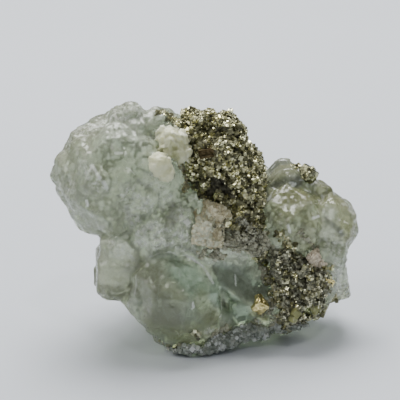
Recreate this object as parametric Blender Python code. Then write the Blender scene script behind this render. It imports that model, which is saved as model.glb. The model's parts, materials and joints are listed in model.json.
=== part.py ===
"""A hand specimen of fluorite with pyrite, 62 mm wide, as it rests on a table.

Pale green fluorite crystals have grown into one another. A mass of granular pyrite fills the
valley between them and runs down to the lower right, with a few single pyrite crystals, two milky
crystals, two patches of tan calcite and a sugary quartz rim along the lower front edge.

The frame: +X to the right, +Y away from the viewer, +Z up, in metres. The origin is under the
middle of the specimen, on the surface that it stands on. Sizes in the tables are millimetres.

Every mineral is built in the same way. A crystal is a cube whose corners and edges are cut back by
planes, smaller crystals of the same orientation sit on its faces as growth steps, and a Boolean
joins them all. A mineral that grew later is cut back from the ones that it grew on.
"""

import math
import random

import bmesh
import bpy
from mathutils import Euler, Matrix, Vector

MM = 0.001
GAP = 0.3  # clearance between two minerals that touch
GRAIN_SEAT = 0.93  # how far out a grain's centre sits on its lump, as a share of the radius
RIM_SPREAD = 0.4  # how far a crystal of the rim may stand off the rim's line
INSIDE_CRYSTAL = 0.92  # share of a crystal's radius within which nothing can show
INSIDE_LUMP = 0.85  # the same for a granular lump
FARTHEST_CORNER = 1.3  # no crystal reaches farther than this many radii from its centre
FLOOR_BLOCK = 100.0  # the block that cuts the specimen flat, larger than the specimen
GOLDEN_ANGLE = math.pi * (3 - math.sqrt(5))

# How far each family of faces lies from a crystal's centre, as shares of its radius: the 6 cube
# faces, the 8 octahedron faces and the 12 dodecahedron faces.
ROUNDED = (0.90, 0.98, 0.94)
BLOCKY = (0.84, 1.08, 0.99)
CUBE = (0.80, 1.30, 1.06)
PYRITE_CUBE = (0.80, 1.25, 1.20)
PLAIN_CUBE = (0.80, 1.50, 1.30)
PLAIN_TWELVE = (1.30, 1.30, 0.85)

# Each crystal: centre, radius, turn in degrees, habit, number of growth steps on its faces
FLUORITE = {
    "upper left": ((-16.7, 1.0, 32.3), 12.8, (12, 20, 25), ROUNDED, 20),
    "upper left ledge": ((-22.4, -2.0, 28.6), 5.2, (8, 25, 20), BLOCKY, 3),
    "upper left side": ((-25.0, -1.0, 34.0), 5.3, (15, 10, 35), ROUNDED, 3),
    "top knob": ((-14.4, 2.0, 45.1), 2.6, (20, 10, 40), ROUNDED, 0),
    "top knob left": ((-16.4, 1.8, 43.7), 3.0, (10, 20, 15), ROUNDED, 0),
    "top saddle": ((-11.4, 2.2, 43.2), 3.0, (25, 10, 20), ROUNDED, 0),
    "top ridge": ((-8.8, 2.5, 41.0), 5.2, (5, 15, 30), ROUNDED, 5),
    "lower left": ((-16.4, -4.0, 14.4), 6.3, (4, 3, 8), BLOCKY, 4),
    "lower left top": ((-16.0, -3.4, 18.2), 6.0, (8, 6, 4), BLOCKY, 2),
    "small between": ((-13.6, -8.0, 10.0), 2.8, (25, 15, 50), BLOCKY, 0),
    "front ball": ((-5.9, -8.0, 11.0), 9.3, (8, 6, 38), ROUNDED, 9),
    "front ball foot": ((-3.5, -7.6, 6.6), 7.9, (20, 30, 10), ROUNDED, 2),
    "front edge": ((4.9, -4.2, 12.5), 6.0, (45, 38, 0), CUBE, 2),
    "front right": ((9.6, -4.2, 8.0), 6.4, (25, -8, 10), CUBE, 2),
    "foot middle": ((1.6, -7.0, 4.8), 5.0, (20, 30, 10), ROUNDED, 0),
    "foot right": ((13.0, -3.4, 7.0), 6.4, (20, 10, 40), BLOCKY, 3),
    "middle left": ((-8.0, -4.2, 23.4), 7.6, (30, 10, 15), ROUNDED, 8),
    "middle": ((-2.0, -3.0, 19.9), 7.3, (15, 40, 10), ROUNDED, 6),
    "lower right": ((19.0, -1.4, 10.6), 8.0, (10, 30, 45), ROUNDED, 6),
    "right inner": ((17.0, 0.0, 23.0), 7.9, (20, 15, 60), ROUNDED, 8),
    "right outer": ((24.4, 2.0, 21.8), 6.8, (10, 35, 15), ROUNDED, 6),
    "right low": ((24.4, -2.0, 17.2), 4.5, (35, 20, 5), BLOCKY, 3),
    "clear corner": ((24.9, 2.0, 10.3), 5.0, (8, -12, 10), CUBE, 0),
    "upper right": ((16.6, 5.0, 28.4), 5.7, (5, 42, 12), BLOCKY, 4),
    "upper right small": ((23.0, 3.5, 28.4), 2.4, (15, 20, 40), CUBE, 0),
    "core": ((0.0, 4.0, 18.0), 14.0, (10, 10, 10), ROUNDED, 0),
    "back left": ((-11.0, 10.0, 27.0), 10.5, (40, 15, 30), ROUNDED, 6),
    "back right": ((9.5, 11.0, 21.0), 10.0, (15, 45, 20), ROUNDED, 7),
    "back low": ((-5.0, 9.5, 9.5), 10.2, (25, 25, 5), ROUNDED, 5),
    "back foot": ((8.5, 8.0, 7.4), 8.2, (15, 5, 25), BLOCKY, 2),
    "back low right": ((18.0, 7.5, 12.5), 7.6, (5, 20, 35), BLOCKY, 2),
}

# Each lump of a granular mineral: centre, radius, turn in degrees, habit, number of grains on it
PYRITE_MASS = {
    "top left": ((-0.8, 2.5, 40.6), 5.1, (3, 3, 10), ROUNDED, 20),
    "top right": ((3.5, 2.5, 40.5), 4.7, (30, 3, 40), ROUNDED, 18),
    "top front": ((2.2, -0.6, 36.6), 5.8, (10, 20, 60), ROUNDED, 24),
    "middle": ((4.2, 1.5, 32.6), 7.8, (20, 10, 30), ROUNDED, 26),
    "neck": ((7.2, -1.5, 26.5), 5.6, (10, 30, 20), ROUNDED, 26),
    "valley": ((8.4, -4.0, 21.0), 4.4, (30, 5, 10), ROUNDED, 22),
    "valley end": ((4.8, -5.4, 20.2), 3.0, (10, 15, 40), ROUNDED, 12),
}
PYRITE_PATCH = {
    "patch top": ((16.2, -5.8, 17.8), 2.7, (10, 35, 20), ROUNDED, 14),
    "patch": ((19.4, -6.0, 12.4), 5.4, (15, 20, 30), ROUNDED, 24),
    "patch right": ((21.6, -4.8, 12.0), 3.7, (5, 30, 10), ROUNDED, 16),
    "patch foot": ((16.8, -7.4, 7.8), 3.8, (25, 10, 50), ROUNDED, 16),
    "patch end": ((20.8, -6.0, 8.4), 3.3, (35, 10, 15), ROUNDED, 12),
}
CALCITE_PATCH = {
    "tan top": ((2.2, -5.6, 26.7), 3.0, (10, 20, 30), ROUNDED, 12),
    "tan left": ((-0.2, -7.4, 24.0), 3.2, (30, 10, 20), ROUNDED, 12),
    "tan foot": ((1.6, -7.8, 22.0), 2.4, (15, 35, 10), ROUNDED, 8),
}
CALCITE_SPOT = {
    "spot": ((21.6, -5.8, 17.4), 2.2, (20, 10, 30), ROUNDED, 10),
}
PYRITE_GRAIN = (0.90, 1.50)  # radius of one grain, from smallest to largest
CALCITE_GRAIN = (0.70, 1.20)

# Single crystals that stand on the others, in the form of the fluorite's table
MILKY_UPPER = {
    "block": ((-6.6, -2.8, 40.9), 3.3, (10, 15, 30), BLOCKY, 0),
    "side": ((-4.6, -4.0, 39.2), 2.0, (30, 10, 5), BLOCKY, 0),
}
MILKY_LOWER = {
    "block": ((-8.8, -7.9, 38.0), 2.5, (15, 20, 45), ROUNDED, 0),
    "side": ((-7.4, -8.2, 36.4), 1.7, (35, 5, 10), BLOCKY, 0),
}
PYRITE_FRONT = {
    "gold crystal": ((10.6, -10.6, 9.8), 1.9, (25, 35, 20), PYRITE_CUBE, 3),
}
PYRITE_TOP_RIGHT = {
    "crystal": ((20.6, 2.0, 32.9), 2.1, (20, 30, 50), PYRITE_CUBE, 4),
}
PYRITE_CORNER = {
    "crystal": ((23.9, -7.3, 12.8), 1.7, (12, 28, 30), PYRITE_CUBE, 0),
}

# The quartz rim: the line that its crystals stand on, from left to right
RIM_LINE = (
    (-6.0, -12.6, 2.0),
    (-1.0, -13.0, 1.4),
    (5.0, -10.6, 2.4),
    (10.0, -8.8, 3.5),
    (15.5, -8.0, 4.4),
    (21.0, -6.8, 5.8),
)
RIM_CRYSTALS = 20
RIM_RADIUS = (1.4, 1.9)


def face_directions(habit):
    """The 26 face normals of a crystal, each with its distance as a share of the radius."""
    cube, octahedron, dodecahedron = habit
    steps = (-1, 0, 1)
    for x in steps:
        for y in steps:
            for z in steps:
                axes = abs(x) + abs(y) + abs(z)
                if axes:
                    share = (None, cube, dodecahedron, octahedron)[axes]
                    yield Vector((x, y, z)).normalized(), share


def crystal(centre, radius, turn, habit, seed, uneven=0.03, grow=0.0):
    """A closed convex crystal as a bmesh: a cube cut back by the planes of its faces."""
    chance = random.Random(seed)
    bm = bmesh.new()
    bmesh.ops.create_cube(bm, size=2 * FARTHEST_CORNER)
    for normal, share in face_directions(habit):
        distance = share * (1 + chance.uniform(-uneven, uneven))
        bmesh.ops.bisect_plane(
            bm,
            geom=bm.verts[:] + bm.edges[:] + bm.faces[:],
            plane_co=normal * distance,
            plane_no=normal,
            clear_outer=True,
        )
        rim = [edge for edge in bm.edges if edge.is_boundary]
        if rim:
            bmesh.ops.holes_fill(bm, edges=rim)
    swelling = 1 + grow / (radius * min(habit))
    bmesh.ops.scale(bm, vec=(radius * swelling * MM,) * 3, verts=bm.verts)
    turned = Euler([math.radians(angle) for angle in turn]).to_matrix()
    bmesh.ops.rotate(bm, matrix=turned, verts=bm.verts)
    bmesh.ops.translate(bm, vec=Vector(centre) * MM, verts=bm.verts)
    bmesh.ops.dissolve_limit(bm, angle_limit=math.radians(0.5), verts=bm.verts, edges=bm.edges)
    return bm


def directions(count, seed):
    """Directions spread evenly over a sphere, a little disturbed."""
    chance = random.Random(seed)
    for index in range(count):
        height = 1 - 2 * (index + 0.5) / count
        around = index * GOLDEN_ANGLE + chance.uniform(-0.4, 0.4)
        flat = math.sqrt(1 - height * height)
        yield Vector((flat * math.cos(around), flat * math.sin(around), height))


def buried(point, radius, hosts, share=INSIDE_CRYSTAL):
    """Whether a ball lies wholly inside one of the crystals of a table."""
    for centre, host_radius, *_ in hosts:
        if (Vector(centre) - point).length + radius < host_radius * share:
            return True
    return False


def with_growth_steps(table, size=(0.28, 0.48), proud=0.06, tilt=5):
    """A table's crystals, each with smaller ones of nearly its orientation standing proud of it."""
    hosts = list(table.values())
    for name, (centre, radius, turn, habit, count) in table.items():
        yield Vector(centre), radius, turn, habit, name
        chance = random.Random(name)
        for index, outward in enumerate(directions(count, name)):
            step_radius = radius * chance.uniform(*size)
            reach = radius * (1 + chance.uniform(0.2, 1.0) * proud) - step_radius
            step_turn = tuple(angle + chance.uniform(-tilt, tilt) for angle in turn)
            at = Vector(centre) + outward * reach
            if not buried(at, step_radius, hosts):
                yield at, step_radius, step_turn, habit, f"{name} {index}"


def with_grains(table, grain, habit_of_grain, hosts):
    """A table's lumps, each with grains turned at random over the part of it that shows."""
    lumps = list(table.values())
    for name, (centre, radius, turn, habit, count) in table.items():
        yield Vector(centre), radius, turn, habit, name
        chance = random.Random(name)
        for index, outward in enumerate(directions(count, name)):
            grain_radius = chance.uniform(*grain)
            any_turn = tuple(chance.uniform(0, 90) for _ in range(3))
            at = Vector(centre) + outward * radius * GRAIN_SEAT
            if not buried(at, 0.0, lumps, INSIDE_LUMP) and not buried(at, 0.0, hosts):
                yield at, grain_radius, any_turn, habit_of_grain, f"{name} {index}"


def rim_crystals():
    """The quartz crystals of the rim, side by side along its line."""
    chance = random.Random("rim")
    for index in range(RIM_CRYSTALS):
        along = index / RIM_CRYSTALS * (len(RIM_LINE) - 1)
        left, right = (Vector(point) for point in RIM_LINE[int(along):][:2])
        at = left.lerp(right, along % 1)
        at += Vector([chance.uniform(-RIM_SPREAD, RIM_SPREAD) for _ in range(3)])
        any_turn = tuple(chance.uniform(0, 90) for _ in range(3))
        yield at, chance.uniform(*RIM_RADIUS), any_turn, PLAIN_TWELVE, f"rim {index}"


def make_collection(name, hidden=False):
    made = bpy.data.collections.new(name)
    bpy.context.scene.collection.children.link(made)
    made.hide_render = hidden
    return made


def mesh_object(name, bm, collection):
    mesh = bpy.data.meshes.new(name)
    bm.to_mesh(mesh)
    bm.free()
    made = bpy.data.objects.new(name, mesh)
    collection.objects.link(made)
    return made


def combine(target, operation, pieces):
    """Applies one Boolean of the target with every object of a collection, and removes those."""
    change = target.modifiers.new("combine", "BOOLEAN")
    change.operation = operation
    change.operand_type = "COLLECTION"
    change.collection = pieces
    graph = bpy.context.evaluated_depsgraph_get()
    finished = bpy.data.meshes.new_from_object(target.evaluated_get(graph))
    target.modifiers.clear()
    old = target.data
    target.data = finished
    bpy.data.meshes.remove(old)
    finished.name = target.name
    for piece in list(pieces.objects):
        bpy.data.objects.remove(piece)
    bpy.data.collections.remove(pieces)


def fuse(name, crystals, collection):
    """One solid made of crystals that overlap, each given as centre, radius, turn, habit, seed."""
    first, *others = crystals
    made = mesh_object(name, crystal(*first), collection)
    pieces = make_collection(name + " pieces", hidden=True)
    for number, other in enumerate(others):
        mesh_object(f"{name} piece {number}", crystal(*other), pieces)
    combine(made, "UNION", pieces)
    return made


def cut_back(target, crystals):
    """Cuts a solid back from the crystals it grew on, leaving the gap between them."""
    corners = [Vector(corner) / MM for corner in target.bound_box]
    low = Vector([min(corner[axis] for corner in corners) for axis in range(3)])
    high = Vector([max(corner[axis] for corner in corners) for axis in range(3)])
    pieces = make_collection(target.name + " cutters", hidden=True)
    for number, (centre, radius, turn, habit, seed) in enumerate(crystals):
        nearest = Vector([min(max(centre[axis], low[axis]), high[axis]) for axis in range(3)])
        if (nearest - centre).length < radius * FARTHEST_CORNER:
            cutter = crystal(centre, radius, turn, habit, seed, grow=GAP)
            mesh_object(f"{target.name} cutter {number}", cutter, pieces)
    combine(target, "DIFFERENCE", pieces)


def cut_flat_at_floor(target):
    """Cuts away what reaches below the surface that the specimen stands on."""
    block = bmesh.new()
    bmesh.ops.create_cube(block, size=FLOOR_BLOCK * MM)
    bmesh.ops.translate(block, vec=(0, 0, -FLOOR_BLOCK / 2 * MM), verts=block.verts)
    pieces = make_collection(target.name + " floor", hidden=True)
    mesh_object(target.name + " floor block", block, pieces)
    combine(target, "DIFFERENCE", pieces)


def keep_largest_body(target):
    """Drops the chips that a cut leaves apart from the main body."""
    bm = bmesh.new()
    bm.from_mesh(target.data)
    unseen = set(bm.verts)
    bodies = []
    while unseen:
        body = set()
        reached = [unseen.pop()]
        while reached:
            vertex = reached.pop()
            body.add(vertex)
            for edge in vertex.link_edges:
                other = edge.other_vert(vertex)
                if other in unseen:
                    unseen.remove(other)
                    reached.append(other)
        bodies.append(body)
    bodies.sort(key=len)
    chips = [vertex for body in bodies[:-1] for vertex in body]
    bmesh.ops.delete(bm, geom=chips, context="VERTS")
    bm.to_mesh(target.data)
    bm.free()


def put_origin_under_middle(objects):
    """Moves the meshes so that the origin is under the middle of them all, at their lowest point."""
    points = [vertex.co for each in objects for vertex in each.data.vertices]
    low, high = (Vector([pick(point[axis] for point in points) for axis in range(3)])
                 for pick in (min, max))
    middle = Vector(((low.x + high.x) / 2, (low.y + high.y) / 2, low.z))
    for each in objects:
        each.data.transform(Matrix.Translation(-middle))


def material(name, colour, roughness, metallic=0.0, transmission=0.0):
    made = bpy.data.materials.new(name)
    made.use_nodes = True
    shader = made.node_tree.nodes["Principled BSDF"]
    shader.inputs["Base Color"].default_value = (*colour, 1.0)
    shader.inputs["Roughness"].default_value = roughness
    shader.inputs["Metallic"].default_value = metallic
    shader.inputs["Transmission Weight"].default_value = transmission
    made.diffuse_color = (*colour, 1.0)
    return made


def main():
    for old in list(bpy.data.objects):
        bpy.data.objects.remove(old)
    specimen = make_collection("fluorite with pyrite")
    green = material("pale green fluorite", (0.55, 0.66, 0.55), 0.25, transmission=0.7)
    brass = material("pyrite", (0.55, 0.47, 0.26), 0.3, metallic=1.0)
    milky = material("milky fluorite", (0.76, 0.79, 0.68), 0.4)
    tan = material("tan calcite", (0.62, 0.52, 0.38), 0.7)
    white = material("white quartz", (0.72, 0.74, 0.72), 0.4, transmission=0.4)

    fluorite_hosts = list(FLUORITE.values())
    grown = []  # every crystal so far, which the next mineral is cut back from

    def grow(name, crystals, finish):
        crystals = list(crystals)
        made = fuse(name, crystals, specimen)
        cut_flat_at_floor(made)
        if grown:
            cut_back(made, grown)
        keep_largest_body(made)
        made.data.materials.append(finish)
        grown.extend(crystals)

    def grains(table, size, habit):
        return with_grains(table, size, habit, fluorite_hosts)

    grow("fluorite_cluster", with_growth_steps(FLUORITE), green)
    grow("pyrite_mass", grains(PYRITE_MASS, PYRITE_GRAIN, PLAIN_CUBE), brass)
    grow("pyrite_patch", grains(PYRITE_PATCH, PYRITE_GRAIN, PLAIN_CUBE), brass)
    grow("calcite_patch", grains(CALCITE_PATCH, CALCITE_GRAIN, PLAIN_TWELVE), tan)
    grow("calcite_spot", grains(CALCITE_SPOT, CALCITE_GRAIN, PLAIN_TWELVE), tan)
    grow("milky_crystal_upper", with_growth_steps(MILKY_UPPER), milky)
    grow("milky_crystal_lower", with_growth_steps(MILKY_LOWER), milky)
    grow("pyrite_crystal_front", with_growth_steps(PYRITE_FRONT), brass)
    grow("pyrite_crystal_top_right", with_growth_steps(PYRITE_TOP_RIGHT), brass)
    grow("pyrite_crystal_corner", with_growth_steps(PYRITE_CORNER), brass)
    grow("quartz_rim", rim_crystals(), white)
    put_origin_under_middle(list(specimen.objects))


main()
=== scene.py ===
# %% [markdown]
# # Fluorite with pyrite
#
# This lesson dresses a hand specimen: rounded, pale green fluorite crystals with granular pyrite
# in the valley between them. The solids are already packed as a fixed frame. Each cell here
# takes one mineral, gives it the fine surface that the real one has, and gives it a material.

import json
import math

import bmesh
import bpy
import numpy as np
from mathutils import Euler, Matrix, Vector, noise
from mathutils.bvhtree import BVHTree

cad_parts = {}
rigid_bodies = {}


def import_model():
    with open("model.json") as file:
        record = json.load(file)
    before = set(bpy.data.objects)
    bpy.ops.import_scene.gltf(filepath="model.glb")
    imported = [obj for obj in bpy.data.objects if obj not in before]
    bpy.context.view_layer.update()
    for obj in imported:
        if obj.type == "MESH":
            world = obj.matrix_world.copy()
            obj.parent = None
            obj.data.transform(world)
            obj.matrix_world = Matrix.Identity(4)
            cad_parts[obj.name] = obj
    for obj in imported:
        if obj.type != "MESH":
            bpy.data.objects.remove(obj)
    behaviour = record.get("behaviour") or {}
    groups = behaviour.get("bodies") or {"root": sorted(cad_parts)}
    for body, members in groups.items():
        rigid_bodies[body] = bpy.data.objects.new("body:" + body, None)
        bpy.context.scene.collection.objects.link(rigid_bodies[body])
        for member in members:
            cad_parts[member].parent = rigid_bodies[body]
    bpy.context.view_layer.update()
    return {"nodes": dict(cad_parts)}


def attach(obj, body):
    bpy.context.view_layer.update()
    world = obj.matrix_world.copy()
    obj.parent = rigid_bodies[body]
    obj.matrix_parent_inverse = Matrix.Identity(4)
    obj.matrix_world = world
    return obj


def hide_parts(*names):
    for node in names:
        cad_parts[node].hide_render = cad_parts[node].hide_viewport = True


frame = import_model()
MM = 0.001
PHOTO_SIZE = 400
print("solids:", sorted(frame["nodes"]))

# %% [markdown]
# ## The camera
#
# The specimen is seen from a little above, straight at its front. A long lens close to the
# object gives the mild perspective of a tabletop picture. The camera comes first, because the
# painted zones below are placed by looking through it.

# %% Camera
LENS_MM = 135
SENSOR_MM = 36
CAMERA_DISTANCE = 0.300
CAMERA_ELEVATION = math.radians(20)
NEAR_CLIP = 0.01
LOOK_AT = Vector((-0.00127, -0.00196, 0.0279))


def make_camera():
    lens = bpy.data.cameras.new("camera")
    lens.lens = LENS_MM
    lens.sensor_width = SENSOR_MM
    lens.clip_start = NEAR_CLIP
    camera = bpy.data.objects.new("camera", lens)
    bpy.context.scene.collection.objects.link(camera)
    back = Vector((0, -math.cos(CAMERA_ELEVATION), math.sin(CAMERA_ELEVATION)))
    camera.location = LOOK_AT + back * CAMERA_DISTANCE
    camera.rotation_euler = (-back).to_track_quat("-Z", "Y").to_euler()
    bpy.context.scene.camera = camera
    bpy.context.view_layer.update()
    return camera


camera = make_camera()


def sight_line(x, y):
    """The direction in which the camera sees a pixel of the 400 x 400 picture."""
    half = SENSOR_MM / 2 / LENS_MM
    middle = PHOTO_SIZE / 2
    across = Vector(((x - middle) / middle * half, (middle - y) / middle * half, -1))
    return (camera.matrix_world.to_3x3() @ across).normalized()


print("camera at", [round(value, 3) for value in camera.location])

# %% [markdown]
# ## From a faceted solid to a grown surface
#
# The solids have flat faces and sharp edges. A real crystal's edges are slightly rounded, and its
# faces carry growth hillocks a millimetre or two wide. A voxel remesh gives an even skin of
# small quads that can be rounded and then pushed in and out by noise, which is how the relief is
# made below. The frame's own mesh is never changed, only a merged copy.

# %% Helpers for skins
SAME_POINT = 1e-6  # metres


def add_piece(name, data):
    piece = bpy.data.objects.new(name, data)
    bpy.context.scene.collection.objects.link(piece)
    return piece


def mesh_from(bm, name):
    mesh = bpy.data.meshes.new(name)
    bm.to_mesh(mesh)
    bm.free()
    return mesh


def apply_modifiers(piece):
    """Replaces a piece's mesh by the one that its modifiers make."""
    graph = bpy.context.evaluated_depsgraph_get()
    made = bpy.data.meshes.new_from_object(piece.evaluated_get(graph))
    piece.modifiers.clear()
    piece.vertex_groups.clear()
    piece.data = made
    made.name = piece.name


def round_off(piece, times, group=""):
    """Adds a modifier that rounds the edges, everywhere or as much as a vertex group says."""
    smooth = piece.modifiers.new("rounding", "SMOOTH")
    smooth.factor = 0.5
    smooth.iterations = times
    smooth.vertex_group = group


def even_skin(node, name, voxel_mm, rounding):
    """A copy of a solid with an even skin of small quads and slightly rounded edges."""
    bm = bmesh.new()
    bm.from_mesh(frame["nodes"][node].data)
    bmesh.ops.remove_doubles(bm, verts=bm.verts, dist=SAME_POINT)
    piece = add_piece(name, mesh_from(bm, name))
    remesh = piece.modifiers.new("even skin", "REMESH")
    remesh.mode = "VOXEL"
    remesh.voxel_size = voxel_mm * MM
    remesh.use_smooth_shade = True
    if rounding:
        round_off(piece, rounding)
    apply_modifiers(piece)
    return piece


def rows_of(items, name):
    """A value of three numbers for each of a mesh's points, as rows."""
    values = np.empty(len(items) * 3, np.float32)
    items.foreach_get(name, values)
    return values.reshape(-1, 3).astype(float)


def points_of(mesh):
    return rows_of(mesh.vertices, "co")


def normals_of(mesh):
    return rows_of(mesh.vertex_normals, "vector")


def move_to(mesh, points):
    mesh.vertices.foreach_set("co", points.astype(np.float32).ravel())
    mesh.update()


def push(mesh, heights_mm):
    """Moves each point along its normal, and keeps the skin above the surface it stands on."""
    points = points_of(mesh) + normals_of(mesh) * (heights_mm * MM)[:, None]
    points[:, 2] = np.maximum(points[:, 2], 0)
    move_to(mesh, points)


def save_attribute(mesh, name, values):
    layer = mesh.attributes.new(name, "FLOAT", "POINT")
    layer.data.foreach_set("value", np.asarray(values, np.float32))


# %% [markdown]
# ## Placing things by the picture
#
# Much of a specimen's look is where things are: a white veil here, a dark face there. Each such
# place is written as a stroke, from one pixel of the picture to another, and aimed through the
# camera onto the skin. The distance to the stroke, disturbed by noise so that its edge is ragged,
# becomes an attribute on the mesh, which the relief, the crusts and the materials read.

# %% Strokes aimed through the camera
MIDDLE_PIXEL = (200, 230)
MOST_DRAWN_IN = 0.5  # as a share of the way to the middle pixel
DRAW_STEPS = 26


def tree_of(things):
    """A search tree of the faces of some objects, to find what the camera sees of them."""
    corners, faces = [], []
    for thing in things:
        faces += [[index + len(corners) for index in face.vertices] for face in thing.data.polygons]
        corners += [thing.matrix_world @ vertex.co for vertex in thing.data.vertices]
    return BVHTree.FromPolygons(corners, faces)


def aimed_at(tree, x, y):
    """Where the camera's line through a pixel meets a skin, drawn in to its middle on a miss."""
    for share in np.linspace(0, MOST_DRAWN_IN, DRAW_STEPS):
        inward = (x + (MIDDLE_PIXEL[0] - x) * share, y + (MIDDLE_PIXEL[1] - y) * share)
        hit = tree.ray_cast(camera.location, sight_line(*inward))[0]
        if hit is not None:
            return np.array(hit)
    raise ValueError(f"no skin near pixel {x}, {y}")


def soft_noise(points, size_mm, seed):
    """Smooth noise from -1 to 1 at each point, with bumps of the given size."""
    shift = Vector((seed * 7.3, seed * 3.1, seed * 5.7))
    scale = 1 / (size_mm * MM)
    return np.array([noise.noise(Vector(point) * scale + shift) for point in points])


def painted(points, tree, strokes, raggedness=0.35, edge=0.55):
    """How far each point belongs to a set of strokes, from 0 to 1.

    A stroke is x, y, x, y in pixels, its radius in mm and its strength.
    """
    ragged = 1 + raggedness * (soft_noise(points, 2.4, 5) + 0.6 * soft_noise(points, 0.9, 6))
    total = np.zeros(len(points))
    for x1, y1, x2, y2, radius, strength in strokes:
        start, end = aimed_at(tree, x1, y1), aimed_at(tree, x2, y2)
        along = end - start
        length = max(along @ along, 1e-12)
        share = np.clip((points - start) @ along / length, 0, 1)
        away = np.linalg.norm(points - start - share[:, None] * along, axis=1)
        inside = 1 - away / (radius * MM) / ragged
        total = np.maximum(total, strength * np.clip(inside / edge, 0, 1))
    return total


SEEN = tree_of(frame["nodes"].values())
print("the middle pixel sees, in mm:", (aimed_at(SEEN, *MIDDLE_PIXEL) / MM).round(1))

# %% [markdown]
# ## The fluorite's skin
#
# Each fluorite crystal is a stack of small growth steps, so its faces look like a mosaic of tiny
# facets that lean a little each way. Voronoi cells in space give that: each cell has a random
# lean, and a point is pushed by its distance from the cell's centre along it. A few crystals have
# kept flat faces and sharp edges: strokes mark them, and there the skin is hardly pushed.

# %% Fluorite skin with leaning growth facets
SKIN_VOXEL = 0.37
LARGE_FACETS = (3.8, 0.10)  # width in mm and slope, and a seed in the next two
SMALL_FACETS = (1.6, 0.09, 4.5)
CHALK_FACETS = (1.3, 0.45, 9.1)
CHALK_CRACKS = 0.7  # mm deep
CRISP_CALM, CRISP_SHARP = 0.8, 0.75  # how far a crisp place is kept from relief and rounding
CREASE_GAIN, CREASE_START = 8, 0.2
EDGE_GAIN, EDGE_START = 7, 0.3
SOFT_STEPS = 4
CRISP_STROKES = (
    (341, 268, 344, 290, 4.5, 1.0),
    (272, 168, 298, 174, 3.0, 1.0),
    (225, 272, 262, 290, 6.0, 1.0),
    (215, 290, 240, 318, 5.0, 1.0),
    (320, 183, 323, 188, 2.5, 1.0),
    (98, 250, 120, 290, 5.0, 0.7),
    (330, 200, 345, 235, 4.0, 0.6),
    (290, 218, 302, 235, 4.0, 0.5),
    (145, 265, 160, 300, 6.0, 0.6),
)
ROUGH_STROKES = (
    (135, 195, 158, 246, 4.4, 1.0),
    (166, 205, 190, 245, 4.2, 1.0),
    (325, 240, 345, 262, 3.0, 0.5),
    (176, 148, 184, 176, 1.8, 0.8),
)


def leaning_facets(points, size_mm, slope, seed=0.0):
    """The height in mm of a mosaic of facets, each leaning in its own direction."""
    shift = Vector((seed, seed * 1.7, seed * 2.3))
    heights = np.empty(len(points))
    for index, point in enumerate(points / (size_mm * MM)):
        place = Vector(point) + shift
        centre = noise.voronoi(place)[1][0]
        lean = noise.cell_vector(centre * 7.13) - Vector((0.5, 0.5, 0.5))
        heights[index] = (place - centre).dot(lean)
    return heights * size_mm * slope * 2


def fluorite_relief(points, crisp, rough):
    facets = leaning_facets(points, *LARGE_FACETS) + leaning_facets(points, *SMALL_FACETS)
    swell = soft_noise(points, 1.2, 1) * 0.03
    cracks = np.abs(soft_noise(points, 1.8, 3)) * CHALK_CRACKS
    chalk = leaning_facets(points, *CHALK_FACETS) - cracks
    return (facets + swell) * (1 - crisp * CRISP_CALM) + chalk * rough


def bending(mesh):
    """How sharply the skin bends at each point: above 0 in a crease and below 0 on an edge."""
    points = points_of(mesh)
    pairs = np.empty(len(mesh.edges) * 2, np.int32)
    mesh.edges.foreach_get("vertices", pairs)
    first, second = pairs.reshape(-1, 2).T
    count = np.bincount(pairs, minlength=len(points))

    def neighbours(values):
        total = np.zeros_like(values)
        np.add.at(total, first, values[second])
        np.add.at(total, second, values[first])
        return total / (count if values.ndim == 1 else count[:, None])

    inward = neighbours(points) - points
    bend = np.einsum("ij,ij->i", inward, normals_of(mesh)) / (SKIN_VOXEL * MM)
    return (bend + neighbours(bend)) / 2


def round_edges(piece, softness, times):
    """Smooths a skin by an amount that is given for each of its points."""
    group = piece.vertex_groups.new(name="soft")
    for step in range(1, SOFT_STEPS + 1):
        chosen = np.nonzero(np.round(softness * SOFT_STEPS) == step)[0]
        group.add(chosen.tolist(), step / SOFT_STEPS, "REPLACE")
    round_off(piece, times, group.name)
    apply_modifiers(piece)


fluorite = even_skin("fluorite_cluster", "fluorite", SKIN_VOXEL, rounding=0)
tree = tree_of([fluorite])
points = points_of(fluorite.data)
crisp = painted(points, tree, CRISP_STROKES, 0.1)
rough = painted(points, tree, ROUGH_STROKES)
round_edges(fluorite, 1 - crisp * CRISP_SHARP, 2)
bend = bending(fluorite.data)
# Concave creases are saved to be painted darker, as shade.
save_attribute(fluorite.data, "crease", np.clip(bend * CREASE_GAIN - CREASE_START, 0, 1))
# Convex edges are saved to be painted lighter, as highlights.
save_attribute(fluorite.data, "edge", np.clip(-bend * EDGE_GAIN - EDGE_START, 0, 1))
points = points_of(fluorite.data)
push(fluorite.data, fluorite_relief(points, crisp, rough))
print("fluorite skin:", len(fluorite.data.polygons) * 2, "triangles")
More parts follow.
